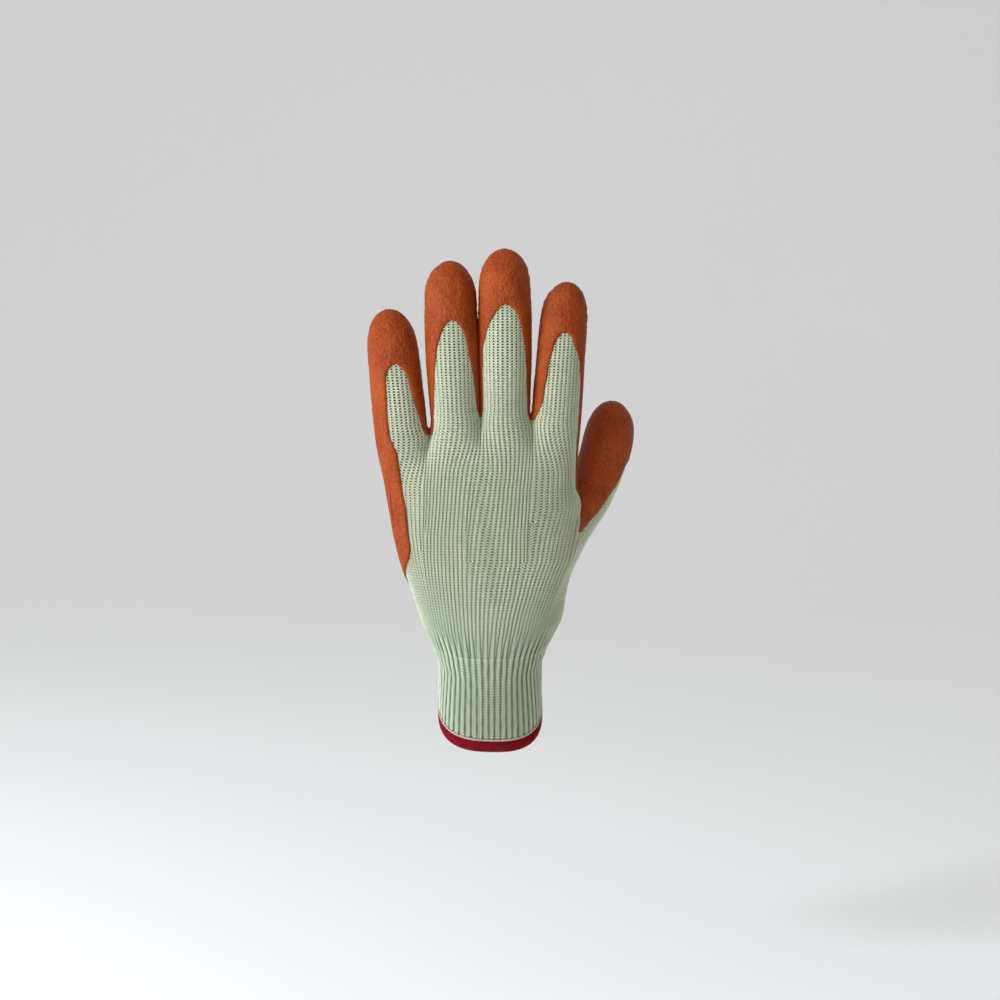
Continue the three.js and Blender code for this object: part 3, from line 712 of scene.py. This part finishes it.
def latex_patch():
    """Surface under the skin, with each point's distance from the skin's edge."""
    patch = Patch()
    for index in range(len(FINGERS)):
        rows = strip_rows(index, SKIN_STEP, SKIN_CAP_ROWS)
        middle = (rows[1:] + rows[:-1]) / 2
        left, right = [limit[:, None] for limit in bare_limits(index, rows)]
        start_left, start_right = latex_starts(index)
        f = FINGERS[index]
        wide = math.pi / 2 * f["width"]
        closed = right - left < CLOSED_SHARE
        above = rows[:, None] - (ROOTS[index] + f["length"] * WINDOWS[index]["up"][-1])
        share = np.linspace(0, 1, FLAP_COLUMNS)
        for way, start, s in ((-1, start_left, left * share), (1, start_right, mix(right, 1, share))):
            keep = np.repeat((middle > start)[:, None], FLAP_COLUMNS - 1, axis=1)
            points = place(strip_point(index, -1, s, rows[:, None]))
            edge = (left - s if way < 0 else s - right) * wide
            patch.grid(points, -1, keep, np.where(closed, np.maximum(above, np.abs(edge)), edge))
        s = np.linspace(0, 1, PALM_COLUMNS)[None, :]
        drop = palm_dip(index, s)
        z = rows[:, None]
        low = z - drop * (WEBS[3] - z) / (WEBS[3] - COATING_SIDE)
        z = np.where(z < WEBS[3], np.where(z < COATING_SIDE, z - drop * z / COATING_SIDE, low), z)
        keep = np.repeat((middle > COATING_SIDE)[:, None], PALM_COLUMNS - 1, axis=1)
        points = place(strip_point(index, 1, np.broadcast_to(s, z.shape), z))
        patch.grid(points, 1, keep, rows[:, None] - COATING_SIDE)
    return patch.welded()


def cell_noise(x, y, z, cell):
    across = cell["across"]
    return noise.noise(Vector((x / across + cell["move_x"], y / across + cell["move_y"], z / cell["up"])))


def crinkle(points, normals, z_tip):
    """Folds of the latex: strong on the palm side and the tips, faint beside the windows."""
    out = np.zeros(len(points))
    strong = np.maximum(smooth((normals[:, 1] + 0.15) / 0.5), z_tip)
    for i, (x, y, z) in enumerate(points.tolist()):
        fold = CRINKLE_FOLD * abs(cell_noise(x, y, z, FOLD_CELL))
        fine = CRINKLE_FINE * cell_noise(x, y, z, FINE_CELL)
        broad = CRINKLE_BROAD * cell_noise(x, y, z, BROAD_CELL)
        out[i] = (CRINKLE_LEVEL - fold + fine) * mix(CRINKLE_FAINT, 1, strong[i]) + broad
    return out


def latex_mesh():
    points, normals, edge_distance, faces = latex_patch()
    tip_strength = (smooth((edge_distance - TIP_EDGE) / TIP_EDGE_BLEND)
                    * smooth((points[:, 2] - TIP_START) / TIP_BLEND))
    rise = SKIN_RISE + SKIN_SWELL * smooth(edge_distance / SKIN_EDGE_BLEND)
    rise = rise + crinkle(points, normals, tip_strength)
    rim = open_edges(faces)
    rim_ids = sorted({i for e in rim for i in e})
    rim_at = {v: len(points) + k for k, v in enumerate(rim_ids)}
    outer_points = points + normals * rise[:, None]
    rim_points = points[rim_ids] - normals[rim_ids] * RIM_DEPTH
    rim_faces = [[b, a, rim_at[a], rim_at[b]] for a, b in rim]
    return np.concatenate([outer_points, rim_points]), faces + rim_faces


as_piece(new_object("latex_skin", *latex_mesh(), latex_skin), "latex", "latex_coating")


# Stitches: each is a V of two short bent tubes on four corners of the surface.
# The leg's path has columns across, up and out; its radius is a share of the stitch's width.
LEG_PATH = np.array([[0.49, -0.20, -0.10], [0.43, 0.12, 0.14], [0.31, 0.52, 0.20], [0.03, 0.88, 0.16]])
LEG_RADIUS = np.array([0.11, 0.15, 0.145, 0.14])
WIDEST_YARN = 2.3
LEG_SIDES = 5
STITCH_LIFT = -0.36
LIFT_NOISE = 0.03
UNDER_LATEX = 2.0
EDGE_COVER = 1.2
EXTRA_WALES = 5
LAST_WALE = 1.5

# Heights of the courses, and the height over which they grow from the wrist's to the hand's
COURSE = 1.32
WRIST_COURSE = 0.92
FIRST_COURSE = 0.3
COURSE_GROWS = 8.0
COURSE_BLEND = 16.0

# Share of a strip's width that its wales fill: all of it at the wrist, less on the palm and the finger
PALM_LOSS = 0.13
PALM_LOSS_START = 25.0
PALM_LOSS_BLEND = 40.0
SPREAD_SHIFTS = [0.0, 9.0, -6.0, 13.0, 4.0]
FINGER_SPREAD = 0.68
FINGER_SPREAD_BELOW = 16.0
FINGER_SPREAD_BLEND = 22.0

# Ribs: how much wider the ridges are than the wales, and how far the others sink
RIB_FADE = 13.0
RIB_SHARE = 0.52
RIB_SINK = 0.28
RIB_GROOVE = 0.32
rng = np.random.default_rng(7)


def unit(v):
    return v / np.maximum(np.linalg.norm(v, axis=-1, keepdims=True), 1e-9)


def tube_points(paths, binormal, normal, radius, sides):
    """Rings of points round paths given as an array of count, points and 3."""
    turn = 2 * np.pi * np.arange(sides) / sides
    ring = (binormal[:, :, None] * np.cos(turn)[None, None, :, None]
            + normal[:, :, None] * np.sin(turn)[None, None, :, None])
    return (paths[:, :, None] + ring * radius).reshape(-1, 3)


def tube_faces(total, steps, sides):
    ids = np.arange(total * steps * sides).reshape(total, steps, sides)
    after = np.roll(ids, -1, axis=2)
    quads = np.stack([ids[:, :-1], after[:, :-1], after[:, 1:], ids[:, 1:]], axis=-1)
    return quads.reshape(-1, 4)


def stitch_mesh(corners, side, lift, reach=1.0):
    """Vertices and faces of stitches; corners holds low left, low right, high right, high left."""
    a, b, c, d = corners
    total, steps = len(a), len(LEG_PATH)
    across = ((b - a) + (c - d)) / 2
    along = ((d - a) + (c - b)) / 2
    out = unit(np.cross(across, along)) * -side
    wide = np.linalg.norm(across, axis=1)
    radius = LEG_RADIUS[None, :, None, None] * np.minimum(wide, WIDEST_YARN)[:, None, None, None]
    verts, faces = [], []
    for leg, mirrored in enumerate((False, True)):
        u = 1 - LEG_PATH[:, 0] if mirrored else LEG_PATH[:, 0]
        v, h = LEG_PATH[:, 1] * reach, LEG_PATH[:, 2]
        u, v = u[None, :, None], v[None, :, None]
        path = (a[:, None] * (1 - u) * (1 - v) + b[:, None] * u * (1 - v)
                + c[:, None] * u * v + d[:, None] * (1 - u) * v)
        path = path + out[:, None] * (h[None, :, None] * wide[:, None, None] + lift[:, None, None])
        tangent = unit(np.gradient(path, axis=1))
        binormal = unit(np.cross(tangent, out[:, None]))
        normal = np.cross(binormal, tangent)
        verts.append(tube_points(path, binormal, normal, radius, LEG_SIDES))
        faces.append(tube_faces(total, steps, LEG_SIDES) + leg * total * steps * LEG_SIDES)
    return np.concatenate(verts), np.concatenate(faces)


def wale_spread(index, z):
    """Share of the strip's width that its own wales fill: less on the finger, which has more of them."""
    palm = 1 - PALM_LOSS * smooth((z - PALM_LOSS_START - SPREAD_SHIFTS[index]) / PALM_LOSS_BLEND)
    on_finger = smooth((z - (ROOTS[index] - FINGER_SPREAD_BELOW)) / FINGER_SPREAD_BLEND)
    return mix(palm, FINGER_SPREAD, on_finger)


def course_step(z):
    """Height of a course: less at the wrist, where the bend draws the front out."""
    return mix(WRIST_COURSE, COURSE, smooth((z - COURSE_GROWS) / COURSE_BLEND))


def course_heights(top):
    heights = [FIRST_COURSE]
    while heights[-1] < top:
        heights.append(heights[-1] + float(course_step(heights[-1])))
    return np.array(heights)


def wale_edges(k, size, last):
    """Left and right edge of wales number k from the middle; the last one runs to the strip's edge."""
    left, right = 0.5 + (k - 0.5) * size, 0.5 + (k + 0.5) * size
    return np.where(last & (k < 0), 0.0, left), np.where(last & (k > 0), 1.0, right)


def strip_stitches(index, side):
    """Mesh of the stitches on the bare knit of one strip."""
    f = FINGERS[index]
    top = ROOTS[index] + f["length"] * WINDOWS[index]["up"][-1] + UNDER_LATEX if side < 0 else COATING_SIDE
    courses = course_heights(top)
    wales = WALES[index]
    number = np.arange(-EXTRA_WALES, wales + EXTRA_WALES)
    z, number = [v.ravel() for v in np.meshgrid(courses, number, indexing="ij")]
    k = number - (wales - 1) / 2
    z1 = z + course_step(z)
    size0, size1 = [wale_spread(index, h) / wales for h in (z, z1)]
    room = (0.5 - (np.abs(k) - 0.5) * size0) / size0
    last = room < LAST_WALE
    left0, right0 = wale_edges(k, size0, last)
    left1, right1 = wale_edges(k, size1, last)
    keep = room > LAST_WALE - 1
    s0, s1 = (left0 + right0) / 2, (left1 + right1) / 2
    half0, half1 = (right0 - left0) / 2, (right1 - left1) / 2
    if side < 0:
        left, right = bare_limits(index, z)
        start_left, start_right = latex_starts(index)
        keep &= (z < start_left) | (s0 > left - half0 * EDGE_COVER)
        keep &= (z < start_right) | (s0 < right + half0 * EDGE_COVER)
        keep &= (right - left > 0.0) | (z < ROOTS[index])
    else:
        keep &= z < COATING_SIDE - palm_dip(index, s0) + UNDER_LATEX
    z, z1, s0, s1, half0, half1, number = [v[keep] for v in (z, z1, s0, s1, half0, half1, number)]
    sunk = (number + WALE_START[index]) % 2 == (1 if side < 0 else 0)
    fade = smooth(1 - z / RIB_FADE)
    grow = 1 + np.where(sunk, -RIB_SHARE, RIB_SHARE) * fade
    corners = [place(strip_point(index, side, np.clip(s, 0, 1), h)) for s, h in (
        (s0 - half0 * grow, z), (s0 + half0 * grow, z), (s1 + half1 * grow, z1), (s1 - half1 * grow, z1))]
    lift = STITCH_LIFT - RIB_SINK * fade * sunk + rng.normal(0, LIFT_NOISE, len(z))
    return stitch_mesh(corners, side, lift)


def join_meshes(parts):
    verts, faces, base = [], [], 0
    for v, f in parts:
        verts.append(v)
        faces.append(f + base)
        base += len(v)
    return np.concatenate(verts), np.concatenate(faces)


STITCHED = [
    ("stitches_little_side", -1, (0, 1)),
    ("stitches_middle", -1, (2,)),
    ("stitches_index_side", -1, (3, THUMB)),
    ("stitches_heel", 1, range(len(FINGERS))),
]
for name, side, indices in STITCHED:
    stitched = join_meshes([strip_stitches(index, side) for index in indices])
    as_piece(new_object(name, *stitched, knit_pale), "knit")


# Cuff: a ribbed wall, with columns of stitches on its ridges and sunk ones in its grooves; the wall and the
# sunk stitches are coloured darker as painted shade of the grooves
COLUMNS_PER_RIB = 8
CUFF_ROWS = 26
CUFF_TOP = -0.6
CUFF_GROUND = 0.8
CUFF_INNER = CUFF_WALL + 0.4
GROOVE_POWER = 0.8
CUFF_COURSE = 1.30
BENT_COURSE = 0.94
BENT_END = 14.0
BENT_BLEND = 8.0
CUFF_REACH = 0.84
SWAY = 0.10
SWAY_ROW = 0.9
SWAY_WALE = 1.7


def ring_faces(columns, rows):
    """Faces of a closed ring of sections, each a loop of points."""
    ids = np.arange(columns * rows).reshape(columns, rows)
    after = np.roll(ids, -1, axis=0)
    up_ids, up_after = np.roll(ids, -1, axis=1), np.roll(after, -1, axis=1)
    return np.stack([ids, after, up_after, up_ids], axis=-1).reshape(-1, 4)


def cuff_wall():
    columns = FRONT_WALES * COLUMNS_PER_RIB
    turns = np.arange(columns) / columns
    downs = np.linspace(CUFF_TOP, CUFF_LENGTH, CUFF_ROWS)
    groove = -CUFF_GROUND - RIB_GROOVE * (1 - rib_height(turns)[:, None] ** GROOVE_POWER)
    outer = cuff_point(turns[:, None], downs[None, :], groove)
    inner = cuff_point(turns[:, None], downs[None, ::-1], -CUFF_INNER)
    verts = np.concatenate([outer[:, ::-1], inner[:, ::-1]], axis=1)
    return verts.reshape(-1, 3), ring_faces(columns, verts.shape[1])


def cuff_heights():
    """Heights of the cuff's courses: closer in the bend, which draws the front out."""
    downs = [CUFF_TOP]
    while downs[-1] + CUFF_COURSE < CUFF_LENGTH:
        straight = float(smooth((downs[-1] - BENT_END) / BENT_BLEND))
        downs.append(downs[-1] + mix(BENT_COURSE, CUFF_COURSE, straight))
    return np.array(downs)


def cuff_stitches(sunk):
    """Columns of stitches round the cuff: the ridges, or the sunk ones between them."""
    heights = cuff_heights()
    rows = np.arange(1, len(heights))
    wales = np.arange(1 if sunk else 0, 2 * FRONT_WALES, 2)
    row, wale = [v.ravel() for v in np.meshgrid(rows, wales, indexing="ij")]
    low, high = heights[row], heights[row - 1]
    half = 0.5 * (1 + (-RIB_SHARE if sunk else RIB_SHARE))
    sway = SWAY * np.sin(row * SWAY_ROW + wale * SWAY_WALE)
    left = (wale + 0.5 + sway - half) / (2 * FRONT_WALES)
    right = (wale + 0.5 + sway + half) / (2 * FRONT_WALES)
    corners = [cuff_point(t, d, 0.0) for t, d in ((left, low), (right, low), (right, high), (left, high))]
    lift = STITCH_LIFT - (RIB_SINK if sunk else 0) + rng.normal(0, LIFT_NOISE, len(row))
    return stitch_mesh(corners, -1, lift, CUFF_REACH)


as_piece(new_object("cuff_wall", *cuff_wall(), cuff_wall_painted_shade), "cuff", "cuff_rib")
as_piece(new_object("cuff_stitches", *cuff_stitches(False), cuff_pale), "cuff")
# Sunk stitches in the darker yarn: painted shade of the grooves.
as_piece(new_object("cuff_sunk_stitches", *cuff_stitches(True), cuff_groove_painted_shade), "cuff")


# Hem: a band wrapped in slanted thread, with a row of teeth and one of loops over its upper edge
HEM_COLUMNS = 240
HEM_SIDES = 12
HEM_POWER = 0.72
BAND_GROW = -0.35
THREADS = 250
THREAD_POINTS = 13
THREAD_GROW = -0.22
THREAD_RADIUS = 0.31
THREAD_SLANT = 0.9
THREAD_FROM = 0.62 * np.pi
THREAD_TO = -1.25 * np.pi
TEETH = 92
ARC_POINTS = 7
ARCS = [
    dict(name="hem_teeth", shift=0.0, half=0.34, below=0.3, rise=1.4, lift=0.30, radius=0.24),
    dict(name="hem_edge_loops", shift=0.5, half=0.40, below=0.6, rise=1.0, lift=0.42, radius=0.26),
]


def tube_mesh(paths, radius, sides=5):
    """Tubes of one radius along paths that stand side by side round the hem."""
    tangent = unit(np.gradient(paths, axis=1))
    guide = unit(np.roll(paths, -1, axis=0) - paths)
    binormal = unit(guide - tangent * np.sum(guide * tangent, axis=-1, keepdims=True))
    normal = np.cross(tangent, binormal)
    return tube_points(paths, binormal, normal, radius, sides), tube_faces(*paths.shape[:2], sides)


def hem_section(turns, angles, grow):
    """Point of the hem's rounded band: angle 0 is outward and a quarter turn is up."""
    c, s = np.cos(angles), np.sin(angles)
    out = (HEM_THICKNESS / 2 + grow) * np.sign(c) * np.abs(c) ** HEM_POWER
    up = (HEM_HEIGHT / 2 + grow) * np.sign(s) * np.abs(s) ** HEM_POWER
    hem_middle = CUFF_LENGTH + PIECE_GAP + HEM_HEIGHT / 2
    return cuff_point(turns, hem_middle - up, out - CUFF_WALL / 2)


def hem_band():
    turns = even_turn(np.arange(HEM_COLUMNS) / HEM_COLUMNS)
    angles = 2 * np.pi * (np.arange(HEM_SIDES) + 0.5) / HEM_SIDES
    verts = hem_section(turns[:, None], angles[None, :], BAND_GROW)
    return verts.reshape(-1, 3), ring_faces(HEM_COLUMNS, HEM_SIDES)


def hem_threads():
    wrap = np.linspace(THREAD_FROM, THREAD_TO, THREAD_POINTS)
    slant = np.linspace(0, THREAD_SLANT, THREAD_POINTS) / THREADS
    turns = even_turn(np.arange(THREADS)[:, None] / THREADS + slant[None, :])
    return tube_mesh(hem_section(turns, np.broadcast_to(wrap, turns.shape), THREAD_GROW), THREAD_RADIUS)


def edge_arcs(arc):
    """A row of small arcs that stand on the hem's upper edge."""
    share = np.linspace(-1, 1, ARC_POINTS)
    turns = even_turn((np.arange(TEETH)[:, None] + arc["shift"] + share[None, :] * arc["half"]) / TEETH)
    down = CUFF_LENGTH - arc["below"] - arc["rise"] * (1 - share ** 2)
    return tube_mesh(cuff_point(turns, np.broadcast_to(down, turns.shape), arc["lift"]), arc["radius"])


as_piece(new_object("hem_band", *hem_band(), hem_thread), "hem", "cuff_hem")
as_piece(new_object("hem_threads", *hem_threads(), hem_thread), "hem")
for arc, material, slot in zip(ARCS, (hem_thread, cuff_pale), ("hem", "cuff")):
    as_piece(new_object(arc["name"], *edge_arcs(arc), material), slot)


# Thin fold in the latex beside the little finger's side of the hand, coloured dark red-brown as painted shade
# of the crease
FOLD_POINTS = 22
FOLD_SIDES = 6
FOLD_Z = [57.5, 81.5]
FOLD_X = [-44.9, -47.2]
FOLD_LIFT = 1.02
FOLD_THIN = 0.05
FOLD_SWELL = 0.26
FOLD_POWER = 0.6
SIDE_STEP = 0.01
SEARCH_END = 0.6
SEARCH_POINTS = 200


def surface_at(index, side, x, z):
    """Shares across a strip at which the surface has these x at these heights."""
    s = np.linspace(0, SEARCH_END, SEARCH_POINTS)
    found = []
    for x_wanted, height in zip(x, z):
        line = place(strip_point(index, side, s, np.full(SEARCH_POINTS, height)))
        found.append(np.interp(x_wanted, line[:, 0], s))
    return np.array(found)


def fold_mesh():
    """Tube along the fold, thickest at its middle."""
    z = np.linspace(*FOLD_Z, FOLD_POINTS)
    s = surface_at(0, -1, np.linspace(*FOLD_X, FOLD_POINTS), z)
    base = place(strip_point(0, -1, s, z))
    beside = place(strip_point(0, -1, s + SIDE_STEP, z)) - base
    out = unit(np.cross(beside, np.gradient(base, axis=0)))
    radius = FOLD_THIN + FOLD_SWELL * np.sin(np.pi * np.linspace(0, 1, FOLD_POINTS)) ** FOLD_POWER
    points = tube_points((base + out * FOLD_LIFT)[None], unit(beside)[None], out[None],
                         radius.reshape(1, -1, 1, 1), FOLD_SIDES)
    return points, tube_faces(1, FOLD_POINTS, FOLD_SIDES)


as_piece(new_object("latex_fold_line", *fold_mesh(), latex_crease_painted_shade), "latex")


# Sweep, light and camera, in metres
FLOOR_LOW = -0.135
FLOOR_FRONT = -30.0
FLOOR_SIDE = 30.0
WALL_START = 1.2
WALL_RADIUS = 2.0
WALL_HEIGHT = 30.0
SWEEP_STEPS = 24


def studio_sweep():
    """A pale floor that curves up into a wall behind the glove."""
    shade = Shader("pale_sweep", 0.9, 0.0)
    shade.colour(shade.ramp(shade.noise(2.0, 1.0), [(0.0, srgb(247, 247, 247)), (1.0, srgb(250, 250, 250))]))
    line = [(FLOOR_FRONT, FLOOR_LOW)]
    for n in range(SWEEP_STEPS + 1):
        bow = math.pi / 2 * n / SWEEP_STEPS
        line.append((WALL_START + WALL_RADIUS * math.sin(bow), FLOOR_LOW + WALL_RADIUS * (1 - math.cos(bow))))
    line.append((WALL_START + WALL_RADIUS, WALL_HEIGHT))
    verts = [(x, y, z) for y, z in line for x in (-FLOOR_SIDE, FLOOR_SIDE)]
    faces = [(2 * n, 2 * n + 1, 2 * n + 3, 2 * n + 2) for n in range(len(line) - 1)]
    mesh = bpy.data.meshes.new("sweep")
    mesh.from_pydata(verts, [], faces)
    mesh.polygons.foreach_set("use_smooth", [True] * len(faces))
    mesh.materials.append(shade.material)
    sweep = bpy.data.objects.new("sweep", mesh)
    bpy.context.scene.collection.objects.link(sweep)
    return sweep


studio_sweep()
bpy.context.scene.view_settings.view_transform = "Standard"


WORLD_LEVEL = 0.50
WORLD_ACROSS = -0.30
WORLD_UP = 0.16
WORLD_COLOUR = (1.0, 0.995, 0.97, 1)


def studio_world():
    """Soft light all round: brighter from the left and above, dimmer from the right."""
    world = bpy.data.worlds.new("studio")
    bpy.context.scene.world = world
    world.use_nodes = True
    tree = world.node_tree
    coord = tree.nodes.new("ShaderNodeTexCoord")
    split = tree.nodes.new("ShaderNodeSeparateXYZ")
    tree.links.new(coord.outputs["Generated"], split.inputs["Vector"])

    def multiply_add(value, factor, offset):
        node = tree.nodes.new("ShaderNodeMath")
        node.operation = "MULTIPLY_ADD"
        tree.links.new(value, node.inputs[0])
        node.inputs[1].default_value = factor
        if isinstance(offset, float):
            node.inputs[2].default_value = offset
        else:
            tree.links.new(offset, node.inputs[2])
        return node.outputs["Value"]

    level = multiply_add(split.outputs["X"], WORLD_ACROSS, WORLD_LEVEL)
    level = multiply_add(split.outputs["Z"], WORLD_UP, level)
    background = tree.nodes["Background"]
    background.inputs["Color"].default_value = WORLD_COLOUR
    tree.links.new(level, background.inputs["Strength"])


studio_world()


def area_light(name, location, target, size, power, colour):
    data = bpy.data.lights.new(name, "AREA")
    data.size = size
    data.energy = power
    data.color = colour
    light = bpy.data.objects.new(name, data)
    light.location = location
    light.rotation_euler = (Vector(target) - Vector(location)).to_track_quat("-Z", "Y").to_euler()
    bpy.context.scene.collection.objects.link(light)


CENTRE = (0.00476, -0.0152, 0.1008)
KEY_PLACE = (-1.15, -0.62, 0.55)
KEY_SIZE = 0.5
KEY_POWER = 19.0
KEY_COLOUR = (0.92, 0.99, 1.08)
area_light("key", KEY_PLACE, CENTRE, KEY_SIZE, KEY_POWER, KEY_COLOUR)

IMAGE_WIDTH = 1000
PIXEL = 0.000477
ELEVATION = math.radians(6)
camera_data = bpy.data.cameras.new("camera")
camera_data.lens = 100
camera_data.sensor_width = 36
camera = bpy.data.objects.new("camera", camera_data)
bpy.context.scene.collection.objects.link(camera)
bpy.context.scene.camera = camera
distance = IMAGE_WIDTH * PIXEL / camera_data.sensor_width * camera_data.lens
back = Vector((0, -math.cos(ELEVATION), math.sin(ELEVATION)))
camera.location = Vector(CENTRE) + back * distance
camera.rotation_euler = (-back).to_track_quat("-Z", "Y").to_euler()
